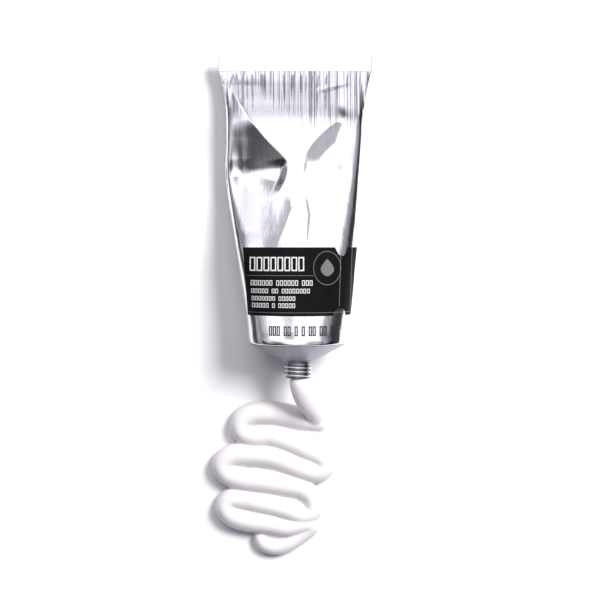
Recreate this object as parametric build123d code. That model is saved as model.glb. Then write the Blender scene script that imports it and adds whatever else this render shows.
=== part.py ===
"""Collapsible aluminium shaving cream tube, lying open on a table with cream squeezed from its mouth.

Frame: millimetres, +Z up, the table is Z = 0. The shoulder's edge lies in the plane Y = 0, the threaded
neck points towards -Y and the folded end towards +Y. X = 0 is the neck's axis.
"""

import math
import os

from build123d import *

# Round end: shoulder and neck, heights measured from the shoulder's edge along the neck's axis
TUBE_RADIUS = 20.0
SHOULDER_RIM = 0.5
SHOULDER_HEIGHT = 7.9
SHOULDER_WALL = 0.8
NECK_FLARE_RADIUS = 6.0
NECK_FLARE_HEIGHT = 8.4
NECK_ROOT_RADIUS = 5.05
NECK_HEIGHT = 14.8
ORIFICE_RADIUS = 3.5
THREAD_CREST_RADIUS = 5.75
THREAD_PITCH = 1.6
THREAD_START = 8.7
THREAD_TURNS = 3.2
THREAD_ROOT_WIDTH = 1.15
THREAD_CREST_WIDTH = 0.4
THREAD_BITE = 0.15

# Sleeve: distance from the shoulder's edge, half width, half thickness, centre height, sideways shift.
# From the fifth millimetre to the eighty-fourth, the sections dip below the table, which cuts a flat strip
# along the back.
SLEEVE_STATIONS = [
    (0.0, 20.0, 20.0, 20.0, 0.0),
    (5.0, 20.5, 19.5, 19.4, 0.0),
    (11.0, 21.15, 18.8, 18.6, 0.0),
    (20.0, 22.3, 17.6, 17.3, -0.2),
    (29.0, 23.4, 16.3, 16.0, -0.5),
    (38.0, 24.6, 14.8, 14.5, -0.8),
    (52.0, 26.3, 12.5, 12.2, -1.3),
    (68.0, 27.75, 10.3, 10.0, -1.9),
    (84.0, 28.1, 9.5, 9.2, -1.3),
    (91.0, 28.2, 8.9, 9.1, -1.2),
    (96.5, 28.4, 7.0, 9.0, -1.15),
    (102.0, 28.85, 4.4, 9.0, -1.25),
    (106.0, 29.6, 2.3, 9.0, -1.25),
    (108.4, 30.7, 0.5, 9.0, -1.2),
]
SLEEVE_WALL = 0.2
SPLIT_GAP = 0.02

# Layers, as depths inwards from the sleeve's outer face
LACQUER_DEPTH = 0.26
LACQUER_WALL = 0.08
LACQUER_END = 102.0
CREAM_DEPTH = 0.42
CREAM_END = 96.5
CREAM_GAP = CREAM_DEPTH - SLEEVE_WALL
LABEL_STANDOFF = 0.04
LABEL_THICKNESS = 0.12

# Folded end
FOLD_WIDTH = 62.8
FOLD_NEAR = 109.3
FOLD_FAR = 115.4
FOLD_THICKNESS = 1.1
FOLD_ROUNDING = 0.5
FOLD_CENTRE_X = -1.2
FOLD_CENTRE_Z = 9.0
SEAL_WIDTH = 60.0
SEAL_DEPTH = 4.0
SEAL_THICKNESS = 0.3
SEAL_GAP = 0.05

# Wrap label: its left edge leans, its right edge is out of sight under the tube's right side
LABEL_NEAR = 11.0
LABEL_FAR = 38.0
LABEL_LEFT_NEAR = -20.0
LABEL_LEFT_FAR = -22.0
LABEL_LEFT_FLOOR_Z = 18.0
LABEL_RIGHT_EDGE_Z = 10.0
NOTCH_WIDTH = 4.4
NOTCH_FAR_X = 17.2
NOTCH_FAR_DEPTH = 3.4
NOTCH_NEAR_X = 16.6
NOTCH_NEAR_DEPTH = 3.0

# Cream outside the tube: the strand's path, then its folds on the table
MOUTH_CLEARANCE = 0.3
STRAND_RADIUS = 3.0
STRAND_START = (0.0, -NECK_HEIGHT - MOUTH_CLEARANCE, TUBE_RADIUS)
STRAND_BEND = (1.6, -21.5, 17.6)
STRAND_LANDING = (6.2, -30.0, 7.5)
STRAND_LANDING_DIRECTION = (0.35, -0.9, -0.8)
CREAM_TOP = 10.5
# Each fold: left and right ends of its middle line, distance along Y, radius
CREAM_FOLDS = [
    (-20.7, 4.5, -32.4, 7.6),
    (-28.6, 7.6, -47.5, 8.2),
    (-26.8, 6.0, -62.5, 8.2),
    (-19.0, 3.0, -74.0, 6.6),
    (-14.6, -5.0, -82.6, 5.0),
]

BEYOND = 200.0
SLEEVE_END = SLEEVE_STATIONS[-1][0]
NECK_FRAME = Pos(0, 0, TUBE_RADIUS) * Rot(90, 0, 0)
CONE_SLOPE = (SHOULDER_HEIGHT - SHOULDER_RIM) / (TUBE_RADIUS - NECK_FLARE_RADIUS)


def keep_above(solid, height):
    """Cut a solid flat on its underside at the given height."""
    keeper = Box(2 * BEYOND, 2 * BEYOND, BEYOND, align=(Align.CENTER, Align.CENTER, Align.MIN))
    return solid & Pos(0, 0, height) * keeper


def sleeve_layer(depth, start=0.0, end=SLEEVE_END):
    """Solid inside the sleeve's outer face moved inwards by depth, flat underneath, between two stations."""
    sections = []
    for y, half_width, half_thickness, centre_z, shift in SLEEVE_STATIONS:
        if start <= y <= end:
            plane = Plane(origin=(shift, y, centre_z), x_dir=(1, 0, 0), z_dir=(0, 1, 0))
            sections.append(plane * Ellipse(half_width - depth, half_thickness - depth))
    return keep_above(loft(sections, ruled=True), depth)


def tube_body():
    """Thin metal sleeve: round at the shoulder, pressed flat at the far end, open at both."""
    return sleeve_layer(0.0) - sleeve_layer(SLEEVE_WALL)


def inner_lacquer():
    """Protective film on the sleeve's inner face, stood off by a hair."""
    outside = sleeve_layer(LACQUER_DEPTH, end=LACQUER_END)
    return outside - sleeve_layer(LACQUER_DEPTH + LACQUER_WALL, end=LACQUER_END)


def turned(points):
    """Solid of revolution about the neck's axis from points of radius and height."""
    profile = Plane.XZ * make_face(Polyline(*points, close=True))
    return revolve(profile, Axis.Z)


def cone_height(radius, drop=0.0):
    """Height of the shoulder's cone at a radius, or of a parallel cone under it."""
    return SHOULDER_RIM + CONE_SLOPE * (TUBE_RADIUS - radius) - drop / math.cos(math.atan(CONE_SLOPE))


def neck_thread():
    """Right-hand helical ridge that a screw cap holds on to."""
    root = NECK_ROOT_RADIUS - THREAD_BITE
    crest = THREAD_CREST_RADIUS - root
    path = Pos(0, 0, THREAD_START) * Helix(THREAD_PITCH, THREAD_TURNS * THREAD_PITCH, root)
    start = Plane(origin=path @ 0, x_dir=(1, 0, 0), z_dir=path % 0)
    ridge = make_face(
        Polyline(
            (0, -THREAD_ROOT_WIDTH / 2),
            (crest, -THREAD_CREST_WIDTH / 2),
            (crest, THREAD_CREST_WIDTH / 2),
            (0, THREAD_ROOT_WIDTH / 2),
            close=True,
        )
    )
    return sweep(start * ridge, path=path, is_frenet=True)


def shoulder_neck():
    """Conical shoulder and threaded open neck in one piece."""
    shell = turned([
        (TUBE_RADIUS - SHOULDER_WALL, SPLIT_GAP),
        (TUBE_RADIUS, SPLIT_GAP),
        (TUBE_RADIUS, SHOULDER_RIM),
        (NECK_FLARE_RADIUS, SHOULDER_HEIGHT),
        (NECK_ROOT_RADIUS, NECK_FLARE_HEIGHT),
        (NECK_ROOT_RADIUS, NECK_HEIGHT),
        (ORIFICE_RADIUS, NECK_HEIGHT),
        (ORIFICE_RADIUS, cone_height(ORIFICE_RADIUS, SHOULDER_WALL)),
    ])
    return NECK_FRAME * (shell + neck_thread())


def cream_fill():
    """Cream inside the sleeve, the shoulder and the neck, up to the mouth."""
    overlap = -2 * SHOULDER_WALL
    edge = TUBE_RADIUS - SHOULDER_WALL - 2 * CREAM_GAP
    plug = ORIFICE_RADIUS - CREAM_GAP / 2
    drop = SHOULDER_WALL + CREAM_GAP
    top = NECK_HEIGHT - CREAM_GAP / 2
    plug_solid = turned([
        (0, overlap),
        (edge, overlap),
        (edge, cone_height(edge, drop)),
        (plug, cone_height(plug, drop)),
        (plug, top),
        (0, top),
    ])
    return sleeve_layer(CREAM_DEPTH, end=CREAM_END) + NECK_FRAME * plug_solid


def fold_bar(width, near, far, thickness):
    """Flat bar across the tube at the folded end."""
    centre = (FOLD_CENTRE_X, (near + far) / 2, FOLD_CENTRE_Z)
    return Pos(*centre) * Box(width, far - near, thickness)


def end_fold():
    """Folded band that closes the sleeve, rounded on its far edge and slotted for the seal."""
    band = fold_bar(FOLD_WIDTH, FOLD_NEAR, FOLD_FAR, FOLD_THICKNESS)
    far_edges = band.edges().filter_by(Axis.X).sort_by(Axis.Y)[-2:]
    slot_far = FOLD_NEAR + SEAL_DEPTH + SEAL_GAP
    slot = fold_bar(SEAL_WIDTH + 2 * SEAL_GAP, FOLD_NEAR, slot_far, SEAL_THICKNESS + 2 * SEAL_GAP)
    return fillet(far_edges, FOLD_ROUNDING) - slot


def end_seal():
    """Latex strip caught in the fold."""
    return fold_bar(SEAL_WIDTH, FOLD_NEAR, FOLD_NEAR + SEAL_DEPTH, SEAL_THICKNESS)


def label_outline():
    """Plan of the wrap label with a rounded notch in its near and its far edge."""
    right = 2 * TUBE_RADIUS
    corners = [
        (LABEL_LEFT_NEAR, LABEL_NEAR),
        (right, LABEL_NEAR),
        (right, LABEL_FAR),
        (LABEL_LEFT_FAR, LABEL_FAR),
    ]
    sheet = make_face(Polyline(*corners, close=True))
    notches = (
        (NOTCH_FAR_X, LABEL_FAR, NOTCH_FAR_DEPTH),
        (NOTCH_NEAR_X, LABEL_NEAR, NOTCH_NEAR_DEPTH),
    )
    for x, y, depth in notches:
        sheet -= Pos(x, y) * SlotOverall(2 * depth, NOTCH_WIDTH, rotation=90)
    return sheet


def front_label():
    """Printed film wrapped over the sleeve's front and round its right side."""
    span = {"start": LABEL_NEAR, "end": LABEL_FAR}
    skin = sleeve_layer(-LABEL_STANDOFF - LABEL_THICKNESS, **span) - sleeve_layer(-LABEL_STANDOFF, **span)
    prism = extrude(Pos(0, 0, LABEL_RIGHT_EDGE_Z) * label_outline(), BEYOND)
    under_left = Box(BEYOND, BEYOND, LABEL_LEFT_FLOOR_Z, align=(Align.MAX, Align.CENTER, Align.MIN))
    return (skin & prism) - under_left


def cream_fold(x_left, x_right, y, radius):
    """One sideways fold of the cream: a bar with round ends."""
    centre_z = CREAM_TOP - radius
    bar = Pos((x_left + x_right) / 2, y, centre_z) * Rot(0, 90, 0) * Cylinder(radius, x_right - x_left)
    for x in (x_left, x_right):
        bar += Pos(x, y, centre_z) * Sphere(radius)
    return bar


def squeezed_cream():
    """Strand that leaves the mouth, bends down and lies on the table in sideways folds."""
    path = Spline(
        STRAND_START, STRAND_BEND, STRAND_LANDING, tangents=((0, -1, 0), STRAND_LANDING_DIRECTION)
    )
    cream = sweep(Plane(origin=path @ 0, z_dir=path % 0) * Circle(STRAND_RADIUS), path=path)
    for fold in CREAM_FOLDS:
        cream += cream_fold(*fold)
    return keep_above(cream, 0.0)


PIECES = {
    "shoulder_neck": shoulder_neck,
    "tube_body": tube_body,
    "inner_lacquer": inner_lacquer,
    "cream_fill": cream_fill,
    "front_label": front_label,
    "end_fold": end_fold,
    "end_seal": end_seal,
    "squeezed_cream": squeezed_cream,
}

os.makedirs("parts", exist_ok=True)
for name, make in PIECES.items():
    export_step(make(), f"parts/{name}.step")
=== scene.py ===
"""Looks for the shaving cream tube: dented bare foil, wrap label, grainy shoulder, cut thread and cream."""

import math

import bmesh
import bpy
import numpy as np
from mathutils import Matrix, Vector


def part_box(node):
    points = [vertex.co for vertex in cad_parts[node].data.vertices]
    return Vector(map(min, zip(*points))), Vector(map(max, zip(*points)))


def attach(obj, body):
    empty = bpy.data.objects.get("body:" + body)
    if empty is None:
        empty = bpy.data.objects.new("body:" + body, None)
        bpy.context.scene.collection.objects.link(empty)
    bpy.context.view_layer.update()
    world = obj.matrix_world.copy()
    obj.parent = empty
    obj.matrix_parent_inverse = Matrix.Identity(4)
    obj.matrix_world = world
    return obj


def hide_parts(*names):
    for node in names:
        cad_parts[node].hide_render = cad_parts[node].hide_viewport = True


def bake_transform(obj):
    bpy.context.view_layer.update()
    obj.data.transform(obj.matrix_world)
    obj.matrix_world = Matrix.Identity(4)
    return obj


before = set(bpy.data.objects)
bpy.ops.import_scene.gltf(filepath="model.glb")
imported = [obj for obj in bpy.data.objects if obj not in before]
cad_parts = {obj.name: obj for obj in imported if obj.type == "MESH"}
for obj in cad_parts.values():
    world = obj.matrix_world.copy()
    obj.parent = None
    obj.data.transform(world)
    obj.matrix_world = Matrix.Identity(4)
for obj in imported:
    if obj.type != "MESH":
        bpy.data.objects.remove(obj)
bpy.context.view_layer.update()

MM = 0.001

# ---------------------------------------------------------------- frame sizes, in millimetres


def box_mm(node):
    low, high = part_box(node)
    return np.array(low) / MM, np.array(high) / MM


SHOULDER_LOW, SHOULDER_HIGH = box_mm("shoulder_neck")
FOLD_LOW, FOLD_HIGH = box_mm("end_fold")
LABEL_LOW, LABEL_HIGH = box_mm("front_label")
FOLD_Z = (FOLD_LOW[2] + FOLD_HIGH[2]) / 2
TUBE_R = (SHOULDER_HIGH[0] - SHOULDER_LOW[0]) / 2
MOUTH_Y = SHOULDER_LOW[1]

# Sleeve sections: Y, half width, half thickness, centre height, sideways shift, squareness (2 is an ellipse)
STATIONS = np.array([
    (-0.6, 19.45, 19.45, 20.0, 0.0, 2.0),
    (-0.25, 19.85, 19.85, 20.0, 0.0, 2.0),
    (0.4, 20.0, 20.0, 19.97, 0.0, 2.0),
    (5.0, 20.5, 19.5, 19.4, 0.0, 2.0),
    (11.0, 21.15, 18.8, 18.6, 0.0, 2.05),
    (20.0, 22.3, 17.6, 17.3, -0.2, 2.2),
    (29.0, 23.4, 16.2, 15.9, -0.5, 2.5),
    (38.0, 24.6, 14.7, 14.4, -0.8, 2.8),
    (52.0, 26.3, 12.3, 12.0, -1.3, 3.0),
    (68.0, 27.75, 10.2, 9.9, -1.9, 3.3),
    (82.0, 28.1, 9.4, 9.3, -1.3, 3.4),
    (89.0, 28.2, 8.9, 9.2, -1.2, 3.3),
    (96.0, 28.5, 6.25, 8.7, -1.15, 3.0),
    (102.0, 29.2, 3.6, 8.55, -1.25, 2.8),
    (106.0, 30.1, 1.75, 8.65, -1.25, 2.5),
    (108.6, 30.9, 0.6, 9.0, -1.2, 2.4),
    (110.2, 31.2, 0.3, 9.0, -1.2, 2.4),
]).T


def spline(x, xs, ys):
    """Smooth curve through the stations, with slopes from their neighbours."""
    slopes = np.gradient(ys, xs)
    i = np.clip(np.searchsorted(xs, x) - 1, 0, len(xs) - 2)
    step = xs[i + 1] - xs[i]
    t = np.clip((x - xs[i]) / step, 0, 1)
    return (
        (2 * t**3 - 3 * t**2 + 1) * ys[i]
        + (t**3 - 2 * t**2 + t) * step * slopes[i]
        + (3 * t**2 - 2 * t**3) * ys[i + 1]
        + (t**3 - t**2) * step * slopes[i + 1]
    )


def smooth(t, low=0.0, high=1.0):
    t = np.clip((t - low) / (high - low), 0, 1)
    return t * t * (3 - 2 * t)


def between(a, b, c, d, t):
    """Curve from b to c, with slopes set by the points before and after them."""
    return 0.5 * (2 * b + (c - a) * t + (2 * a - 5 * b + 4 * c - d) * t**2 + (3 * b - a - 3 * c + d) * t**3)


def waves(x, spacing, seed):
    """Smooth random curve along x, between about -1 and 1."""
    knots = np.random.RandomState(seed).uniform(-1, 1, 512)
    u = x / spacing + 200
    i = np.floor(u).astype(int)
    t = u - i
    return between(*(knots[(i + k) % 512] for k in (-1, 0, 1, 2)), t)


def waves_2d(x, y, spacing, seed):
    """Smooth random surface, as the sum of skewed curves."""
    total = 0
    for k, turn in enumerate((0.3, 1.4, 2.5)):
        along = x * math.cos(turn) + y * math.sin(turn)
        total = total + waves(along, spacing * (1 + 0.2 * k), seed + k)
    return total / 2


def bent(points, steps=6):
    """Smooth curve through points, as an array. A fourth number is a radius, and is carried along."""
    p = np.array([points[0], *points, points[-1]], float)
    out = [
        between(a, b, c, d, t)
        for a, b, c, d in zip(p, p[1:], p[2:], p[3:])
        for t in np.linspace(0, 1, steps, endpoint=False)
    ]
    return np.array([*out, p[-1]])


# ---------------------------------------------------------------- dents in the sleeve's front


def along_line(x, y, start, end):
    """Share of the way from start to end, and the signed distance to the left of that line."""
    dx, dy = end[0] - start[0], end[1] - start[1]
    length = math.hypot(dx, dy)
    share = ((x - start[0]) * dx + (y - start[1]) * dy) / length**2
    side = ((x - start[0]) * -dy + (y - start[1]) * dx) / length
    return share, side


def groove(x, y, points, depth, width):
    """Soft valley along a broken line, deepest half way along it."""
    best = np.full(np.shape(x), 1e9)
    amount = np.zeros(np.shape(x))
    count = len(points) - 1
    for k in range(count):
        share, side = along_line(x, y, points[k], points[k + 1])
        length = math.dist(points[k], points[k + 1])
        over = np.maximum(np.abs(share - 0.5) - 0.5, 0) * length
        distance = np.hypot(side, over)
        total = (k + np.clip(share, 0, 1)) / count
        strength = 0.25 + 0.75 * np.sin(math.pi * np.clip(total, 0.02, 0.98))
        here = depth * np.exp(-((distance / width) ** 2)) * strength
        closer = distance < best
        best = np.where(closer, distance, best)
        amount = np.where(closer, here, amount)
    return amount


def beside(x, y, points):
    """Signed distance from a broken line, positive to the right of its direction."""
    best = np.full(np.shape(x), 1e9)
    signed = np.zeros(np.shape(x))
    for k in range(len(points) - 1):
        share, side = along_line(x, y, points[k], points[k + 1])
        over = np.maximum(np.abs(share - 0.5) - 0.5, 0) * math.dist(points[k], points[k + 1])
        distance = np.hypot(side, over)
        closer = distance < best
        best = np.where(closer, distance, best)
        signed = np.where(closer, -np.sign(side) * distance, signed)
    return signed


def step_beside(x, y, points, depth, width, reach):
    """Crease that drops on the right of a broken line, over width, and comes back over reach."""
    right = np.maximum(beside(x, y, points), 0)
    share = np.clip(right / width, 0, 1)
    return depth * (1 - (1 - share) ** 1.3) * np.exp(-np.maximum(right - width, 0) / reach)


def hill(t, low, rise, fall, high):
    """One between rise and fall, and nothing below low or above high."""
    return smooth(t, low, rise) * smooth(t, high, fall)


# Ridge over the left facet, as X and Y, and the foot that it falls to
RIDGE_X = np.array([-31.0, -21.5, -12.4, -3.3, 0.0])
RIDGE_Y = np.array([108.0, 92.8, 81.5, 73.8, 72.0])
FOOT_Y = 70.8


def left_facet(x, y, squeeze):
    """Big flat press at the left, from a raised curved ridge down to a soft foot."""
    ridge = spline(x, RIDGE_X, RIDGE_Y)
    foot = FOOT_Y + 3.0 * smooth(x, -10, -3.3)
    above_foot = 0.5 * (y - foot + np.sqrt((y - foot) ** 2 + 9.0))
    below = (ridge - foot - above_foot) * 0.72
    slope = 0.37 + 0.09 * smooth(x, -22, -9)
    depth = np.where(below > 0, slope * below, 0) - 1.8 * np.exp(np.minimum(below, 0) / 11)
    back = 1 - smooth(foot - y, -1.0, 32.0)
    return depth * back * (1 - 0.6 * squeeze) * smooth(x, 4.0, -3.6) * smooth(y, 108, 97)


# Edge of the long fold down the middle, as Y and X
LONG_FOLD_Y = np.array([30.0, 38.0, 47.0, 52.0, 55.5, 62.0, 69.0, 75.0])
LONG_FOLD_X = np.array([-10.0, -8.6, -5.2, -3.2, -0.6, -2.0, -4.1, -5.5])
# Creases run on past the part that shows, where a hill fades them out, so that their ends leave no mark
RIGHT_CREASE = bent([
    (-1.5, 30), (0.8, 60), (1.8, 67), (3.0, 74), (5.0, 78.5), (8.6, 82.6), (14, 87.4), (30, 100),
])
LEAF_EDGE = bent([(-1.6, 84), (-3.3, 73.3), (-4.7, 66.5), (-6.4, 62.4), (-9.5, 55)])
THIN_CREASE = [(1.2, 65), (3.8, 51), (2.8, 38)]
TOP_CREASE = [(8.5, 101.5), (20.5, 105)]


def front_dents(x, y, edge):
    """How far the front is pressed in at a place seen from above. Edge is 0 in the middle and 1 at the sides."""
    facet = left_facet(x, y, smooth(edge, 0.72, 1.0))
    leaf = step_beside(x, y, LEAF_EDGE, 1.5, 3.0, 4.5) * hill(y, 57, 66, 69.5, 74.5)
    left = np.maximum(spline(y, LONG_FOLD_Y, LONG_FOLD_X) - x, 0)
    long_fold = 1.4 * (1 - np.exp(-left / 9)) * np.exp(-left / 300) * hill(y, 36, 45, 66, 74)
    sunk = step_beside(x, y, RIGHT_CREASE, 2.2, 6.4, 24) * hill(y, 58, 73, 86, 94) * smooth(x, 22, 15)
    thin = groove(x, y, THIN_CREASE, 0.22, 0.8)
    oval = 1.3 * np.exp(-(((x - 20.3) / 4.0) ** 2 + ((y - 93.6) / 5.2) ** 2))
    top = groove(x, y, TOP_CREASE, 0.45, 1.0)
    rise = np.where(y < 103.5, np.clip((y - 91) / 12.5, 0, 1), smooth(y, 109.5, 103.5))
    shelf = 0.6 * np.exp(-(((x + 23) / 10) ** 2)) * rise
    return facet + leaf + long_fold + sunk + thin + oval + top - shelf


def section_swell(turn, squareness):
    return (np.abs(np.sin(turn)) ** squareness + np.abs(np.cos(turn)) ** squareness) ** (-1 / squareness)


def sleeve_point(turn, y, inset=0.0):
    """Point of the sleeve at an angle from the top (towards +X) and a distance along the tube."""
    half_w, half_t, centre, shift, square = (spline(y, STATIONS[0], row) for row in STATIONS[1:])
    half_t = np.maximum(half_t, 0.25)
    swell = section_swell(turn, square)
    over, up = np.sin(turn) * swell, np.cos(turn) * swell
    x = shift + half_w * over
    z = centre + half_t * up
    squeezed = smooth(y, 30, 75)
    across = turn * 20
    # long soft waves in the thin metal
    lift = 0.035 * (0.4 + squeezed) * waves_2d(across, y, 12, 31) * smooth(y, 2, 12) * smooth(y, 109, 104)
    # pleats that run down from the fold
    pleat = 0.15 * waves(across, 1.5, 5) + 0.10 * waves(across, 0.7, 9) + 0.05 * waves(across, 0.4, 17)
    reach = 93 + 4 * waves(across, 3.1, 12) + 2 * waves(across, 1.1, 15)
    lift = lift + pleat * smooth(y, reach - 3, reach + 8) * smooth(y, 109.4, 107)
    normal_x = np.sign(over) * np.abs(over) ** (square - 1) / half_w
    normal_z = np.sign(up) * np.abs(up) ** (square - 1) / half_t
    size = np.hypot(normal_x, normal_z)
    x = x + lift * normal_x / size
    z = z + lift * normal_z / size
    top = smooth(np.cos(turn), 0.0, 0.35)
    z = z - front_dents(x, y, np.abs(over)) * top * smooth(y, 110, 103)
    x = x - np.minimum(inset, 0.6 * half_w) * normal_x / size
    z = z - np.minimum(inset, 0.6 * half_t) * normal_z / size
    z = 0.5 * (z + np.sqrt(z**2 + 0.15))
    return np.stack([x, y + 0 * x, z], -1)


def lifted_point(turn, y, lift):
    """Point above the sleeve's face by lift, along the face's own normal."""
    step = 0.01
    here = sleeve_point(turn, y)
    across = sleeve_point(turn + step, y) - here
    along = sleeve_point(turn, y + step * 10) - here
    normal = np.cross(across, along)
    normal /= np.linalg.norm(normal, axis=-1, keepdims=True)
    return here + normal * lift


def turn_at(x, y):
    """Angle from the top of the front point that is seen from above at x."""
    half_w, shift, square = (spline(y, STATIONS[0], STATIONS[k]) for k in (1, 4, 5))
    over = np.clip((x - shift) / half_w, -0.999, 0.999)
    size = np.abs(over)
    return np.sign(over) * np.arctan2(size, (1 - size**square) ** (1 / square))


# ---------------------------------------------------------------- mesh helpers


def new_object(name, vertices, faces, material, uvs=None):
    mesh = bpy.data.meshes.new(name)
    mesh.from_pydata([tuple(v) for v in np.asarray(vertices) * MM], [], faces)
    if uvs is not None:
        layer = mesh.uv_layers.new(name="UVMap")
        index = np.zeros(len(mesh.loops), np.int32)
        mesh.loops.foreach_get("vertex_index", index)
        layer.data.foreach_set("uv", np.asarray(uvs, float)[index].ravel())
    mesh.materials.append(material)
    obj = bpy.data.objects.new(name, mesh)
    bpy.context.scene.collection.objects.link(obj)
    mesh.shade_smooth()
    return obj


def grid_faces(rows, columns, wrap, start=0):
    faces = []
    last = columns if wrap else columns - 1
    for r in range(rows - 1):
        for c in range(last):
            a, b = r * columns + c, r * columns + (c + 1) % columns
            faces.append((start + a, start + b, start + b + columns, start + a + columns))
    return faces


def tube_skin(name, rings, material, capped=True):
    """Closed skin from an array of rings, capped at both ends."""
    rows, columns, _ = rings.shape
    faces = grid_faces(rows, columns, True)
    if capped:
        faces.append(tuple(reversed(range(columns))))
        faces.append(tuple(range((rows - 1) * columns, rows * columns)))
    v, u = np.meshgrid(np.linspace(0, 1, rows), np.linspace(0, 1, columns), indexing="ij")
    uvs = np.stack([u.ravel(), v.ravel()], -1)
    obj = new_object(name, rings.reshape(-1, 3), faces, material, uvs)
    fix_normals(obj)
    return obj


def fix_normals(obj):
    bm = bmesh.new()
    bm.from_mesh(obj.data)
    bmesh.ops.recalc_face_normals(bm, faces=bm.faces)
    bm.to_mesh(obj.data)
    bm.free()


def sheet(name, lower, upper, material):
    """Closed thin sheet between two grids of points of the same shape."""
    rows, columns, _ = lower.shape
    count = rows * columns
    faces = grid_faces(rows, columns, False)
    faces += [tuple(reversed(f)) for f in grid_faces(rows, columns, False, count)]
    edge = list(range(columns))
    edge += [r * columns + columns - 1 for r in range(1, rows)]
    edge += [(rows - 1) * columns + c for c in range(columns - 2, -1, -1)]
    edge += [r * columns for r in range(rows - 2, 0, -1)]
    for k, a in enumerate(edge):
        b = edge[(k + 1) % len(edge)]
        faces.append((a, b, b + count, a + count))
    points = np.concatenate([lower.reshape(-1, 3), upper.reshape(-1, 3)])
    v, u = np.meshgrid(np.linspace(0, 1, rows), np.linspace(0, 1, columns), indexing="ij")
    uvs = np.tile(np.stack([u.ravel(), v.ravel()], -1), (2, 1))
    obj = new_object(name, points, faces, material, uvs)
    fix_normals(obj)
    return obj


def join(name, objects):
    with bpy.context.temp_override(active_object=objects[0], selected_editable_objects=objects):
        bpy.ops.object.join()
    objects[0].name = name
    return objects[0]


# ---------------------------------------------------------------- materials


class Nodes:
    """Short hand for building a material's node tree."""

    def __init__(self, name, tree=None):
        if tree is None:
            self.material = bpy.data.materials.new(name)
            self.material.use_nodes = True
            tree = self.material.node_tree
        tree.nodes.clear()
        self.tree = tree

    def add(self, kind, inputs=None, **settings):
        node = self.tree.nodes.new(kind)
        for key, value in settings.items():
            setattr(node, key, value)
        for key, value in (inputs or {}).items():
            self.put(node.inputs[key], value)
        return node

    def put(self, socket, value):
        if isinstance(value, bpy.types.NodeSocket):
            self.tree.links.new(value, socket)
        elif isinstance(value, bpy.types.Node):
            self.tree.links.new(value.outputs[0], socket)
        else:
            socket.default_value = value

    def math(self, operation, *values):
        node = self.add("ShaderNodeMath", operation=operation)
        for k, value in enumerate(values):
            self.put(node.inputs[k], value)
        return node.outputs[0]

    def ramp(self, factor, stops):
        node = self.add("ShaderNodeValToRGB", {"Fac": factor})
        elements = node.color_ramp.elements
        while len(elements) < len(stops):
            elements.new(0.5)
        for element, (place, value) in zip(elements, stops):
            element.position = place
            element.color = (*value, 1) if isinstance(value, tuple) else (value, value, value, 1)
        return node.outputs[0]

    def noise(self, scale, detail=2.0, stretch=(1, 1, 1), rough=0.5):
        where = self.add("ShaderNodeTexCoord").outputs["Object"]
        mapped = self.add("ShaderNodeMapping", {"Vector": where, "Scale": stretch})
        return self.add(
            "ShaderNodeTexNoise", {"Vector": mapped, "Scale": scale, "Detail": detail, "Roughness": rough}
        ).outputs["Fac"]

    def bump(self, height, strength, distance, normal=None):
        node = self.add("ShaderNodeBump", {"Height": height, "Strength": strength, "Distance": distance})
        if normal is not None:
            self.put(node.inputs["Normal"], normal)
        return node.outputs[0]

    def finish(self, **inputs):
        shader = self.add("ShaderNodeBsdfPrincipled", {k.replace("_", " "): v for k, v in inputs.items()})
        self.add("ShaderNodeOutputMaterial", {"Surface": shader})
        return self.material


def mix_colour(n, factor, a, b, mode="MIX"):
    node = n.add("ShaderNodeMix", data_type="RGBA", blend_type=mode)
    n.put(node.inputs[0], factor)
    n.put(node.inputs[6], a)
    n.put(node.inputs[7], b)
    return node.outputs[2]


def foil_material():
    """Bright drawn foil, with dark streaks painted into its colour that run down from the fold: painted shade in place
    of the dark reflections of the pleats there.
    """
    n = Nodes("bare_foil")
    drawn = n.noise(1.0, 3, (2600, 18, 2600), 0.6)
    broad = n.noise(1.0, 2, (500, 8, 500))
    streak = n.noise(1.0, 3, (1900, 14, 0), 0.7)
    grain = n.bump(drawn, 0.35, 0.00005)
    wavy = n.bump(broad, 0.45, 0.00012, grain)
    tint = n.ramp(drawn, [(0.3, (0.74, 0.745, 0.775)), (0.6, (0.91, 0.91, 0.925))])
    where = n.add("ShaderNodeSeparateXYZ", {"Vector": n.add("ShaderNodeTexCoord").outputs["Object"]})
    past_line = n.math("ADD", where.outputs["Y"], n.math("MULTIPLY", n.math("MINIMUM", where.outputs["X"], 0.0), 0.85))
    near_fold = n.add("ShaderNodeMapRange", {
        "Value": past_line, "From Min": 0.081, "From Max": 0.091, "To Min": 0.0, "To Max": 0.205,
    }).outputs[0]
    # Painted shade: streaks near the fold darken the foil's colour in place of the dark reflections of its pleats.
    painted_streak_shade = n.math("MULTIPLY", n.math("SUBTRACT", n.math("ADD", streak, near_fold), 0.68), 8.0)
    painted_streak_shade = n.math("MINIMUM", n.math("MAXIMUM", painted_streak_shade, 0.0), 1.0)
    tint = mix_colour(n, n.math("MULTIPLY", painted_streak_shade, 0.82), tint, (0.10, 0.10, 0.115, 1))
    rough = n.math("MULTIPLY_ADD", broad, 0.07, 0.07)
    return n.finish(Base_Color=tint, Metallic=1.0, Roughness=rough, Normal=wavy)


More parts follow.
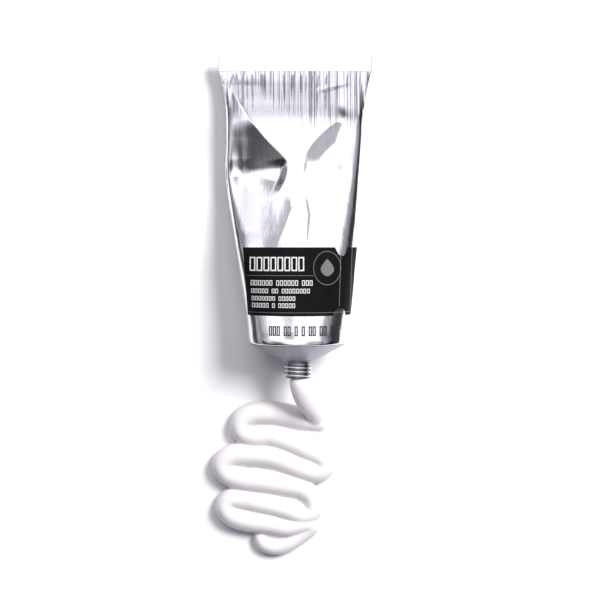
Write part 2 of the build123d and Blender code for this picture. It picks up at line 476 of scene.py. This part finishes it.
def shoulder_material():
    """Grainy grey cone, painted darker towards its left side as shade, and a shinier neck with painted shade in the
    gaps between the turns of its thread.
    """
    n = Nodes("grainy_aluminium")
    grain = n.noise(4200, 3)
    blotch = n.noise(240, 3)
    turned = n.noise(1.0, 2, (120, 2400, 120))
    relief = n.bump(turned, 0.25, 0.00006, n.bump(grain, 0.6, 0.00006))
    cone = n.ramp(blotch, [(0.3, (0.36, 0.36, 0.41)), (0.7, (0.44, 0.43, 0.48))])
    where = n.add("ShaderNodeSeparateXYZ", {"Vector": n.add("ShaderNodeTexCoord").outputs["Object"]})
    on_neck = n.add("ShaderNodeMapRange", {
        "Value": where.outputs["Y"], "From Min": -0.0078, "From Max": -0.0086, "To Min": 0.0, "To Max": 1.0,
    }).outputs[0]
    up = n.math("SUBTRACT", where.outputs["Z"], TUBE_R * MM)
    radius = n.math("SQRT", n.math("ADD", n.math("MULTIPLY", where.outputs["X"], where.outputs["X"]),
                                   n.math("MULTIPLY", up, up)))
    # Painted shade: the neck's colour goes dark at the root of the thread, in the gaps between its turns.
    crest = n.add("ShaderNodeMapRange", {
        "Value": radius, "From Min": 0.00512, "From Max": 0.00556, "To Min": 0.0, "To Max": 1.0,
    }).outputs[0]
    # Painted shade: the cone's colour darkens towards its left side, which faces away from the lights, and lightens
    # towards the right.
    sideways = n.add("ShaderNodeMapRange", {
        "Value": where.outputs["X"], "From Min": -0.019, "From Max": 0.015, "To Min": 0.52, "To Max": 1.30,
    }).outputs[0]
    cone = mix_colour(n, 1.0, cone, sideways, "MULTIPLY")
    tint = mix_colour(n, on_neck, cone, mix_colour(n, crest, (0.22, 0.22, 0.235, 1), (0.93, 0.92, 0.95, 1)))
    dull = n.math("MULTIPLY_ADD", grain, 0.22, 0.36)
    rough = n.math("MULTIPLY", dull, n.math("MULTIPLY_ADD", on_neck, -0.58, 1.0))
    return n.finish(Base_Color=tint, Metallic=1.0, Roughness=rough, Normal=relief)


def fold_material():
    n = Nodes("folded_foil")
    drawn = n.noise(1.0, 3, (1800, 60, 900), 0.6)
    broad = n.noise(350, 2)
    relief = n.bump(broad, 0.35, 0.0002, n.bump(drawn, 0.4, 0.00005))
    tint = n.ramp(drawn, [(0.3, (0.84, 0.84, 0.86)), (0.6, (0.91, 0.91, 0.92))])
    return n.finish(Base_Color=tint, Metallic=1.0, Roughness=n.math("MULTIPLY_ADD", broad, 0.12, 0.16), Normal=relief)


def label_material():
    n = Nodes("label_black")
    fibre = n.noise(3000, 4, (1, 0.6, 1))
    cloud = n.noise(160, 3)
    tint = n.ramp(cloud, [(0.3, (0.0042, 0.0042, 0.0044)), (0.7, (0.0062, 0.0061, 0.0062))])
    rough = n.math("MULTIPLY_ADD", fibre, 0.18, 0.5)
    return n.finish(
        Base_Color=tint, Roughness=rough, Specular_IOR_Level=0.07, Normal=n.bump(fibre, 0.25, 0.00003)
    )


def ink_material(name, colour, worn):
    n = Nodes(name)
    wear = n.noise(2600, 3)
    darker = tuple(c * worn for c in colour)
    tint = n.ramp(wear, [(0.35, darker), (0.6, colour)])
    return n.finish(
        Base_Color=tint, Roughness=n.math("MULTIPLY_ADD", wear, 0.2, 0.45), Specular_IOR_Level=0.2,
        Normal=n.bump(wear, 0.2, 0.00001),
    )


def cream_material():
    n = Nodes("shaving_cream")
    soft = n.noise(90, 3)
    fine = n.noise(1400, 4)
    tint = n.ramp(soft, [(0.3, (0.72, 0.685, 0.70)), (0.7, (0.77, 0.74, 0.75))])
    relief = n.bump(fine, 0.12, 0.00008, n.bump(soft, 0.25, 0.0006))
    return n.finish(
        Base_Color=tint, Roughness=n.math("MULTIPLY_ADD", fine, 0.15, 0.38), Specular_IOR_Level=0.4,
        Subsurface_Weight=0.12, Subsurface_Radius=(0.004, 0.0028, 0.0026), Subsurface_Scale=0.6, Normal=relief,
    )


def hidden_material(name, colour, rough, grain):
    """Plain coating or binder that shows only where the tube is open."""
    n = Nodes(name)
    spots = n.noise(grain, 3)
    tint = n.ramp(spots, [(0.3, tuple(0.85 * c for c in colour)), (0.7, colour)])
    return n.finish(
        Base_Color=tint, Roughness=n.math("MULTIPLY_ADD", spots, 0.15, rough),
        Normal=n.bump(spots, 0.2, 0.00005),
    )


FOIL = foil_material()
FOLD = fold_material()
SHOULDER = shoulder_material()
LABEL = label_material()
WHITE_INK = ink_material("ink_white", (0.72, 0.72, 0.72), 0.75)
GREY_INK = ink_material("ink_grey", (0.16, 0.16, 0.16), 0.6)
BLACK_INK = ink_material("ink_black", (0.02, 0.02, 0.022), 0.6)
CREAM = cream_material()
LACQUER = hidden_material("gold_lacquer", (0.78, 0.62, 0.30), 0.25, 700)
LATEX = hidden_material("latex", (0.70, 0.66, 0.56), 0.55, 900)


# ---------------------------------------------------------------- pieces: sleeve, film, cream inside


def ring_angles(count):
    """Angles round the sleeve, closer together over the front, where the dents are."""
    even = np.linspace(-math.pi, math.pi, count, endpoint=False)
    return even - 0.35 * np.sin(even)


def sleeve_rings(low, high, rows, columns, inset=0.0):
    y, turn = np.meshgrid(np.linspace(low, high, rows), ring_angles(columns), indexing="ij")
    return sleeve_point(turn, y, inset)


# How far film and cream lie inside the foil's face, and where they end before the fold
FILM_INSET, FILM_END = 0.45, 102.0
FILL_INSET, FILL_END = 1.0, 96.0

foil = tube_skin("foil_sleeve", sleeve_rings(-0.6, FOLD_LOW[1] + 0.8, 330, 300), FOIL)
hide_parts("tube_body")
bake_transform(foil)

film = tube_skin("lacquer_film", sleeve_rings(0.6, FILM_END, 260, 240, FILM_INSET), LACQUER)
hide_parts("inner_lacquer")
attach(film, "tube")


def lathe(profile, radius_change=None, columns=160):
    """Rings turned about the neck's axis from (radius, distance from the shoulder's edge) pairs."""
    radius, height = np.array(profile).T
    turn = np.linspace(0, 2 * math.pi, columns, endpoint=False)
    h, a = np.meshgrid(height, turn, indexing="ij")
    r = np.repeat(radius[:, None], columns, 1)
    if radius_change is not None:
        r = r + radius_change(r, h, a)
    return np.stack([r * np.sin(a), -h, TUBE_R + r * np.cos(a)], -1)


def rounded(points, radius, steps=6):
    """Broken line with every inner corner rounded off."""
    points = [np.array(p, float) for p in points]
    out = [points[0]]
    for before, corner, after in zip(points, points[1:], points[2:]):
        into, away = before - corner, after - corner
        reach = min(radius, 0.45 * np.linalg.norm(into), 0.45 * np.linalg.norm(away))
        a = corner + into / np.linalg.norm(into) * reach
        b = corner + away / np.linalg.norm(away) * reach
        for t in np.linspace(0, 1, steps):
            out.append((1 - t) ** 2 * a + 2 * t * (1 - t) * corner + t**2 * b)
    out.append(points[-1])
    return out


def spaced(points, step):
    """The same line with extra points, so that none are farther apart than step."""
    out = [points[0]]
    for a, b in zip(points, points[1:]):
        count = max(1, math.ceil(np.linalg.norm(np.subtract(b, a)) / step))
        for k in range(1, count + 1):
            out.append(np.array(a) + (np.array(b) - np.array(a)) * k / count)
    return out


NECK_R, CREST_R, BORE_R = 5.05, 5.75, 3.5
NECK_H = -MOUTH_Y
THREAD_PITCH, THREAD_FROM, THREAD_TO = 1.6, NECK_H - 6.1, NECK_H - 0.5

outer = rounded(
    [(19.0, 0.3), (19.35, -0.1), (19.42, 0.62), (19.1, 0.95), (6.9, NECK_H - 7.3), (NECK_R, NECK_H - 6.6),
     (NECK_R, NECK_H), (BORE_R, NECK_H), (BORE_R, NECK_H - 5.8), (BORE_R + 1.4, NECK_H - 7.4), (18.6, 0.3)], 0.5)
outer = spaced(outer, 0.12)


def thread_ridge(r, h, a):
    """Height of the thread's ridge on the outside of the neck."""
    phase = (h - THREAD_FROM) / THREAD_PITCH - a / (2 * math.pi)
    across = np.abs(phase - np.round(phase)) * 2
    ridge = smooth(across, 0.85, 0.18)
    fade = smooth(h, THREAD_FROM - 0.2, THREAD_FROM + 0.9) * smooth(h, THREAD_TO + 0.2, THREAD_TO - 0.7)
    outside = smooth(r, NECK_R - 0.25, NECK_R - 0.05) * (r < NECK_R + 0.3)
    return (CREST_R - NECK_R) * ridge * fade * outside


rings = lathe(outer, thread_ridge)
shoulder = tube_skin("shoulder_and_neck", np.concatenate([rings, rings[:1]]), SHOULDER, capped=False)
bm = bmesh.new()
bm.from_mesh(shoulder.data)
bmesh.ops.remove_doubles(bm, verts=bm.verts, dist=1e-7)
bmesh.ops.recalc_face_normals(bm, faces=bm.faces)
bm.to_mesh(shoulder.data)
bm.free()
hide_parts("shoulder_neck")
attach(shoulder, "tube")

# cream inside: a body under the film and a plug up the neck
body_rings = sleeve_rings(0.9, FILL_END, 180, 160, FILL_INSET)
plug_profile = spaced(rounded([(17.8, 0.0), (17.2, 1.6), (4.6, 7.4), (3.3, 9.0), (3.3, NECK_H - 0.25)], 0.5), 0.4)
plug_rings = lathe(plug_profile, columns=96)
dome = []
for share, rise in ((0.8, 0.1), (0.5, 0.18), (0.2, 0.2)):
    ring = plug_rings[-1].copy()
    ring[:, 0] *= share
    ring[:, 2] = TUBE_R + (ring[:, 2] - TUBE_R) * share
    ring[:, 1] -= rise
    dome.append(ring)
inside = join("cream_inside", [
    tube_skin("cream_body", body_rings, CREAM),
    tube_skin("cream_plug", np.concatenate([plug_rings, dome]), CREAM),
])
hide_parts("cream_fill")
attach(inside, "tube")


# ---------------------------------------------------------------- folded end

FOLD_LEFT, FOLD_RIGHT = FOLD_LOW[0], FOLD_HIGH[0]


def fold_profile():
    """Section through the folded band: a thick flat, with a thinner lip towards the sleeve."""
    near, far = FOLD_LOW[1] - 0.25, FOLD_HIGH[1]
    step, lip, half = near + 0.5, near + 0.1, 0.5
    return rounded([
        (step, -0.30), (step, -half), (far, -half), (far, half), (step, half), (step, 0.26),
        (lip, 0.24), (lip, -0.24), (step, -0.30),
    ], 0.28, 5)


def fold_band():
    profile = np.array(spaced(fold_profile(), 0.35))
    across = np.linspace(FOLD_LEFT, FOLD_RIGHT, 240)
    x, k = np.meshgrid(across, np.arange(len(profile)), indexing="ij")
    y, z = profile[k, 0], profile[k, 1]
    share = (x - FOLD_LEFT) / (FOLD_RIGHT - FOLD_LEFT)
    far_side = smooth(y, FOLD_LOW[1], FOLD_HIGH[1])
    bow = 0.12 * waves(x, 9, 41) + 0.05 * waves(x, 2.2, 43)
    y = y + 0.10 * waves(x, 14, 45) * far_side
    z = z * (1 + 0.10 * waves(x, 3.1, 47)) + bow * (0.3 + far_side)
    end_taper = smooth(share, 0, 0.006) * smooth(share, 1, 0.994)
    z = z * (0.55 + 0.45 * end_taper)
    points = np.stack([x, y, FOLD_Z + z], -1)
    return tube_skin("fold_band", points, FOLD)


band = fold_band()
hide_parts("end_fold")
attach(band, "end")

seal_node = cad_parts["end_seal"]
seal_node.data.materials.clear()
seal_node.data.materials.append(LATEX)


# ---------------------------------------------------------------- label and its print

LABEL_LIFT, LABEL_THICK = 0.03, 0.10
LABEL_NEAR, LABEL_FAR = LABEL_LOW[1], LABEL_HIGH[1]
LEFT_NEAR, LEFT_FAR = -20.0, -22.0
RIGHT_TURN = math.radians(107)
# Notches in the label's edges, as depth against x: the far one has a leaning left flank
FAR_NOTCH = (14.6, 14.8, 15.7, 16.6, 17.5, 18.5, 19.2, 19.6, 19.7), (0, 0.2, 1.7, 2.9, 3.4, 3.4, 2.8, 1.5, 0)
NEAR_NOTCH = (13.9, 14.1, 14.7, 15.6, 16.6, 17.6, 18.4, 18.8, 19.0), (0, 0.9, 2.1, 2.9, 3.1, 2.7, 1.9, 0.8, 0)


def label_sheet():
    """Black wrap from its left edge over the front and round the right side."""
    v, u = np.meshgrid(np.linspace(0, 1, 90), np.linspace(0, 1, 460), indexing="ij")
    left_x = LEFT_NEAR + (LEFT_FAR - LEFT_NEAR) * v
    y = LABEL_NEAR + (LABEL_FAR - LABEL_NEAR) * v
    start = turn_at(left_x, y)
    turn = start + (RIGHT_TURN - start) * u
    facing = turn < 1.5
    far_x = np.where(facing, sleeve_point(turn[-1], y[-1])[..., 0], 99)
    near_x = np.where(facing, sleeve_point(turn[0], y[0])[..., 0], 99)
    far = LABEL_FAR - np.interp(far_x, *FAR_NOTCH)
    near = LABEL_NEAR + np.interp(near_x, *NEAR_NOTCH)
    y = near + (far - near) * v
    return sheet(
        "wrap_label", lifted_point(turn, y, LABEL_LIFT), lifted_point(turn, y, LABEL_LIFT + LABEL_THICK), LABEL
    )


label = label_sheet()
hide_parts("front_label")
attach(label, "tube")

INK_LIFT, INK_THICK = 0.12, 0.025


def ink_sheet(name, x, y, material, lift=INK_LIFT):
    """Film of ink over a grid of places seen from above, on the label or on the bare foil."""
    turn = turn_at(x, y)
    return sheet(name, lifted_point(turn, y, lift), lifted_point(turn, y, lift + INK_THICK), material)


def ink_patch(x0, x1, y0, y1, material, lean=0.0):
    """Printed bar between two x and two y."""
    columns = max(3, int((x1 - x0) / 0.5) + 2)
    rows = max(3, int((y1 - y0) / 0.5) + 2)
    y, x = np.meshgrid(np.linspace(y0, y1, rows), np.linspace(x0, x1, columns), indexing="ij")
    return ink_sheet("ink", x + lean * (y - y0), y, material)


def ink_box(x0, x1, y0, y1, stroke, material, lift):
    """Printed outline of a box, the plain stand-in for one letter."""
    t = np.linspace(0, 4, 33)
    side = np.clip(np.stack([t, t - 1, t - 2, t - 3]), 0, 1)
    around_x, around_y = side[0] - side[2], side[1] - side[3]
    inward = np.array([[0.0], [1.0]]) * stroke
    x = x0 + inward + (x1 - x0 - 2 * inward) * around_x
    y = y0 + inward + (y1 - y0 - 2 * inward) * around_y
    return ink_sheet("box", x, y, material, lift)


def text_line(left, y0, y1, words, width, gap, stroke, material, lift=INK_LIFT):
    """Row of empty boxes, in words of so many boxes each, that stands in for a line of print."""
    boxes = []
    x = left
    for count in words:
        for _ in range(count):
            boxes.append(ink_box(x, x + width, y0, y1, stroke, material, lift))
            x += width + gap
        x += width
    return boxes


def ring_patch(cx, cy, radius, width, material, squash):
    """Printed ring on the front."""
    turn = np.linspace(0, 2 * math.pi, 97)
    r, a = np.meshgrid([radius - width / 2, radius + width / 2], turn, indexing="ij")
    return ink_sheet("ring", cx + r * np.cos(a) * squash, cy + r * np.sin(a), material)


def drop_patch(cx, cy, size, material):
    """Printed drop, a plain motif in the ring."""
    share, side = np.meshgrid(np.linspace(0.02, 0.98, 24), np.linspace(-1, 1, 9), indexing="ij")
    half = size * 0.42 * np.sin(math.pi * share) ** 0.8 * (1.25 - 0.75 * share)
    return ink_sheet("drop", cx + side * half, cy + size * (share - 0.45), material)


white = []
white += text_line(-19.3, 28.6, 34.2, [8], 2.35, 0.42, 0.52, WHITE_INK)
white += text_line(-18.8, 22.9, 25.0, [6, 6, 3], 1.18, 0.32, 0.30, WHITE_INK)
white += text_line(-18.6, 19.9, 21.7, [5, 2, 8], 1.12, 0.30, 0.28, WHITE_INK)
white += text_line(-18.4, 17.0, 18.7, [7, 5], 1.08, 0.30, 0.28, WHITE_INK)
white += text_line(-18.2, 14.2, 16.0, [5, 1, 5], 1.08, 0.30, 0.28, WHITE_INK)
print_white = join("label_print", white)

grey = [
    ink_patch(-20.4, 6.2, 26.75, 26.95, GREY_INK),
    ink_patch(-19.6, 20.6, 12.2, 12.4, GREY_INK),
    ink_patch(16.2, 16.4, 14.6, 35.0, GREY_INK, lean=0.035),
    ink_patch(20.6, 20.8, 11.3, 38.0, GREY_INK, lean=0.035),
    ring_patch(11.6, 29.8, 6.6, 0.28, GREY_INK, squash=0.82),
    drop_patch(11.6, 29.6, 7.0, GREY_INK),
]
print_grey = join("label_lines", grey)
print_black = join("capacity_print", text_line(
    -11.4, 3.3, 7.1, [3, 2, 1, 1, 2, 2, 2], 1.28, 0.22, 0.46, BLACK_INK, 0.02))
for piece in (print_white, print_grey, print_black):
    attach(piece, "tube")


# ---------------------------------------------------------------- squeezed cream

STRAND = [
    (0.4, MOUTH_Y + 0.1, 20.0, 3.4), (0.6, -16.2, 19.9, 4.1), (1.5, -19.9, 18.5, 4.4), (3.1, -24.2, 15.5, 4.4),
    (5.0, -27.6, 12.0, 4.0), (6.4, -29.8, 9.2, 3.7), (6.9, -31.8, 6.6, 3.8), (6.4, -33.2, 4.0, 3.8),
]
# strokes under the ribbon, which close the gaps between its turns
BED = [
    [(6.5, -39.0, 3.4, 3.3), (2.5, -38.6, 3.6, 3.4), (-2.0, -37.6, 3.6, 3.3)],
    [(4.0, -67.6, 3.2, 3.0), (-1.0, -66.4, 3.6, 3.3), (-7.0, -65.0, 3.6, 3.3)],
    [(1.0, -80.0, 2.6, 2.6), (-5.0, -81.4, 2.8, 2.8), (-11.5, -81.6, 2.8, 2.7)],
]
RIBBON = [
    (8.2, -34.6, 4.6, 4.2), (2.4, -33.4, 5.2, 4.9), (-4.5, -32.0, 5.2, 5.0), (-12.0, -31.0, 5.2, 5.1),
    (-18.6, -31.4, 5.1, 5.1), (-23.0, -34.0, 5.0, 4.9), (-23.2, -38.2, 4.9, 4.8), (-18.5, -40.6, 5.0, 4.9),
    (-12.0, -40.3, 5.2, 5.0), (-5.0, -42.2, 5.4, 5.0), (2.4, -45.6, 5.4, 4.9), (9.0, -48.8, 5.0, 4.7),
    (11.0, -52.4, 4.8, 4.6), (8.4, -55.4, 5.0, 4.7), (2.4, -54.2, 5.3, 5.0), (-4.8, -51.2, 5.4, 5.1),
    (-12.6, -48.8, 5.3, 5.1), (-20.6, -48.2, 5.2, 5.1), (-27.4, -48.8, 5.0, 5.0), (-31.2, -52.4, 4.9, 4.9),
    (-28.6, -56.6, 5.0, 4.9), (-21.4, -58.6, 5.3, 5.2), (-13.0, -59.4, 5.5, 5.3), (-5.0, -60.9, 5.4, 5.0),
    (1.4, -62.4, 5.1, 4.6), (5.4, -66.0, 4.8, 4.2), (6.2, -71.2, 4.6, 4.1), (2.6, -73.6, 4.6, 4.3),
    (-3.0, -71.6, 5.0, 4.8), (-9.4, -69.6, 5.2, 4.9), (-16.0, -68.2, 5.1, 4.9), (-22.8, -66.9, 4.9, 4.8),
    (-28.2, -67.0, 4.7, 4.6), (-30.0, -70.4, 4.7, 4.6), (-27.0, -74.0, 4.8, 4.7), (-20.6, -75.8, 4.9, 4.8),
    (-12.6, -76.9, 4.8, 4.7), (-4.8, -78.4, 4.6, 4.4), (2.6, -77.4, 4.2, 4.0), (5.6, -78.4, 3.6, 3.5),
    (2.0, -81.6, 3.4, 3.4), (-3.6, -85.2, 3.4, 3.5), (-8.8, -87.0, 3.4, 3.5), (-13.6, -86.0, 3.3, 3.4),
    (-15.6, -83.4, 3.1, 3.1),
]


def swept(name, path, material, columns=24, flat=1.0):
    """Closed tube along a path, with round ends."""
    centre, radius = path[:, :3], path[:, 3]
    tangent = np.gradient(centre, axis=0)
    tangent /= np.linalg.norm(tangent, axis=1, keepdims=True)
    side = np.cross(tangent, (0, 0, 1.0))
    side /= np.linalg.norm(side, axis=1, keepdims=True)
    up = np.cross(side, tangent)
    turn = np.linspace(0, 2 * math.pi, columns, endpoint=False)
    rings = []
    ends = [(-1, 0, s) for s in (0.05, 0.4, 0.7, 0.9)] + [(0, i, 1) for i in range(len(path))]
    ends += [(1, len(path) - 1, s) for s in (0.9, 0.7, 0.4, 0.05)]
    for direction, i, share in ends:
        middle = centre[i] + direction * tangent[i] * radius[i] * math.sqrt(1 - share**2)
        around = np.outer(np.cos(turn), side[i]) + flat * np.outer(np.sin(turn), up[i])
        rings.append(middle + around * radius[i] * share)
    return tube_skin(name, np.array(rings), material)


def apply_modifiers(obj):
    graph = bpy.context.evaluated_depsgraph_get()
    mesh = bpy.data.meshes.new_from_object(obj.evaluated_get(graph))
    old = obj.data
    obj.modifiers.clear()
    obj.data = mesh
    bpy.data.meshes.remove(old)


def settled(points):
    """The same path sunk towards the table, as soft cream spreads at its foot."""
    path = bent(points)
    path[:, 2] *= 0.52
    return path


def squeezed_cream():
    strand = swept("strand", bent(STRAND), CREAM, 32)
    ribbon = swept("ribbon", settled(RIBBON), CREAM, 28, 1.3)
    bed = [swept("bed", settled(points), CREAM, 20) for points in BED]
    cream = join("cream_swirl", [strand, ribbon, *bed])
    remesh = cream.modifiers.new("merge", "REMESH")
    remesh.mode, remesh.voxel_size = "VOXEL", 0.42 * MM
    soften = cream.modifiers.new("soften", "SMOOTH")
    soften.factor, soften.iterations = 0.5, 9
    apply_modifiers(cream)
    mesh = cream.data
    co = np.zeros(len(mesh.vertices) * 3, np.float32)
    mesh.vertices.foreach_get("co", co)
    co = co.reshape(-1, 3)
    co[:, 2] = np.maximum(co[:, 2], 0.00002)
    mesh.vertices.foreach_set("co", co.ravel())
    mesh.materials.clear()
    mesh.materials.append(CREAM)
    mesh.shade_smooth()
    return cream


cream = squeezed_cream()
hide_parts("squeezed_cream")
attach(cream, "cream")


# ---------------------------------------------------------------- floor, light and camera

# Light on dull surfaces, then the light that only reflections see
SKY, SKY_STRENGTH = (0.90, 0.895, 1.06, 1), 0.20
STUDIO_TINT, STUDIO_STRENGTH = (0.955, 0.96, 1.03, 1), 1.35
# Dim places in the studio: direction, where the dimming starts and ends (as a cosine), light left there
WORLD_GAPS = (
    ((-0.62, -0.50, 0.60), 0.87, 0.955, 0.17),
    ((-0.80, -0.22, 0.56), 0.92, 0.985, 0.42),
    ((0.60, -0.30, 0.74), 0.90, 0.95, 0.42),
)


def make_floor():
    n = Nodes("white_table")
    rays = n.add("ShaderNodeLightPath")
    place = n.add("ShaderNodeSeparateXYZ", {"Vector": n.add("ShaderNodeNewGeometry").outputs["Position"]})
    reach = 0.3

    def at(metres, span=reach):
        return 0.5 + 0.5 * metres / span

    # Painted reflection: reflected rays see the table dark in bands to the left, to the right and beyond the ends,
    # which the foil shows as dark bands; the camera sees it plain white.
    across = n.ramp(n.math("MULTIPLY_ADD", place.outputs["X"], 0.5 / reach, 0.5), [
        (at(-0.16), 0.42), (at(-0.115), 0.05), (at(-0.062), 0.07), (at(-0.050), 1.0),
        (at(0.085), 1.0), (at(0.105), 0.04),
    ])
    along = n.ramp(n.math("MULTIPLY_ADD", place.outputs["Y"], 0.25 / reach, 0.5), [
        (at(-0.24, 0.6), 0.15), (at(-0.16, 0.6), 1.0), (at(0.13, 0.6), 1.0), (at(0.16, 0.6), 0.15),
    ])
    seen = mix_colour(n, 1.0, across, along, "MULTIPLY")
    white = (0.86, 0.86, 0.87, 1)
    seen = mix_colour(n, 1.0, seen, white, "MULTIPLY")
    colour = mix_colour(n, rays.outputs["Is Glossy Ray"], white, seen)
    shader = n.add("ShaderNodeBsdfDiffuse", {"Color": colour})
    n.add("ShaderNodeOutputMaterial", {"Surface": shader})
    half = 3.0  # metres
    mesh = bpy.data.meshes.new("table")
    mesh.from_pydata([(-half, -half, 0), (half, -half, 0), (half, half, 0), (-half, half, 0)], [], [(0, 1, 2, 3)])
    mesh.materials.append(n.material)
    table = bpy.data.objects.new("table", mesh)
    bpy.context.scene.collection.objects.link(table)


def make_world():
    """Soft white studio. In reflections it is bright overhead, striped by gaps and dim at the horizon."""
    world = bpy.data.worlds.new("studio")
    bpy.context.scene.world = world
    world.use_nodes = True
    n = Nodes("studio", world.node_tree)
    rays = n.add("ShaderNodeLightPath")
    direction = n.add("ShaderNodeTexCoord").outputs["Generated"]
    d = n.add("ShaderNodeSeparateXYZ", {"Vector": direction})
    sideways = n.math("ARCTAN2", d.outputs["X"], d.outputs["Z"])
    lengthways = n.math("ARCTAN2", d.outputs["Y"], n.math("ABSOLUTE", d.outputs["Z"]))

    def at(degrees):
        return 0.5 + degrees / 360

    sideways = n.math("MULTIPLY_ADD", sideways, 0.5 / math.pi, 0.5)
    lengthways = n.math("MULTIPLY_ADD", lengthways, 0.5 / math.pi, 0.5)
    plain = n.ramp(sideways, [
        (at(-100), 0.36), (at(-82), 0.36), (at(-72), 0.60), (at(-64), 1.0), (at(50), 1.0), (at(57), 0.34),
        (at(68), 0.30), (at(80), 0.06),
    ])
    striped = n.ramp(sideways, [
        (at(-100), 0.36), (at(-82), 0.36), (at(-72), 0.60), (at(-64), 1.0), (at(-35), 1.0), (at(-28), 0.44),
        (at(-12), 0.42), (at(-7), 1.0), (at(50), 1.0), (at(57), 0.30), (at(68), 0.25), (at(80), 0.05),
    ])
    lateral = mix_colour(n, n.ramp(lengthways, [(at(20), 0.0), (at(28), 1.0)]), plain, striped)
    for gap, clear, full, depth in WORLD_GAPS:
        toward = n.add("ShaderNodeVectorMath", operation="DOT_PRODUCT")
        n.put(toward.inputs[0], direction)
        n.put(toward.inputs[1], gap)
        dimmed = n.ramp(toward.outputs["Value"], [(clear, 1.0), (full, depth)])
        lateral = mix_colour(n, 1.0, lateral, dimmed, "MULTIPLY")
    fore = n.ramp(lengthways, [
        (at(-88), 0.10), (at(-50), 0.12), (at(-32), 1.0), (at(43), 1.0), (at(56), 0.78), (at(64), 0.66),
        (at(72), 0.38), (at(80), 0.8),
    ])
    seen = mix_colour(n, 1.0, lateral, fore, "MULTIPLY")
    seen = mix_colour(n, 1.0, seen, STUDIO_TINT, "MULTIPLY")
    colour = mix_colour(n, rays.outputs["Is Glossy Ray"], SKY, seen)
    strength = n.math("MULTIPLY_ADD", rays.outputs["Is Glossy Ray"], STUDIO_STRENGTH - SKY_STRENGTH, SKY_STRENGTH)
    background = n.add("ShaderNodeBackground", {"Color": colour, "Strength": strength})
    n.add("ShaderNodeOutputWorld", {"Surface": background})


def make_light(name, watts, size, azimuth, elevation, away=1.1):
    """Round soft light aimed at the object, which metal doesn't show as a spot."""
    data = bpy.data.lights.new(name, "AREA")
    data.shape, data.size, data.energy = "DISK", size, watts
    light = bpy.data.objects.new(name, data)
    azimuth, elevation = math.radians(azimuth), math.radians(elevation)
    light.location = (
        away * math.cos(azimuth) * math.cos(elevation),
        away * math.sin(azimuth) * math.cos(elevation),
        away * math.sin(elevation),
    )
    light.rotation_euler = light.location.to_track_quat("Z", "Y").to_euler()
    light.visible_glossy = False
    bpy.context.scene.collection.objects.link(light)


def make_camera():
    data = bpy.data.cameras.new("camera")
    data.lens, data.sensor_width = 100.8, 36
    data.clip_start, data.clip_end = 0.01, 20
    camera = bpy.data.objects.new("camera", data)
    tilt = math.radians(2.5)
    target = np.array([0.8, 16.6, 18.0]) * MM
    distance = 0.68
    camera.location = target + distance * np.array([0, math.sin(tilt), math.cos(tilt)])
    camera.rotation_euler = (-tilt, 0, 0)
    bpy.context.scene.collection.objects.link(camera)
    bpy.context.scene.camera = camera


make_floor()
make_world()
make_light("window", 16.6, 0.45, 38, 50)
make_light("fill", 4.6, 0.8, 105, 55)
make_camera()
bpy.context.scene.view_settings.view_transform = "Standard"
bpy.context.scene.view_settings.look = "None"
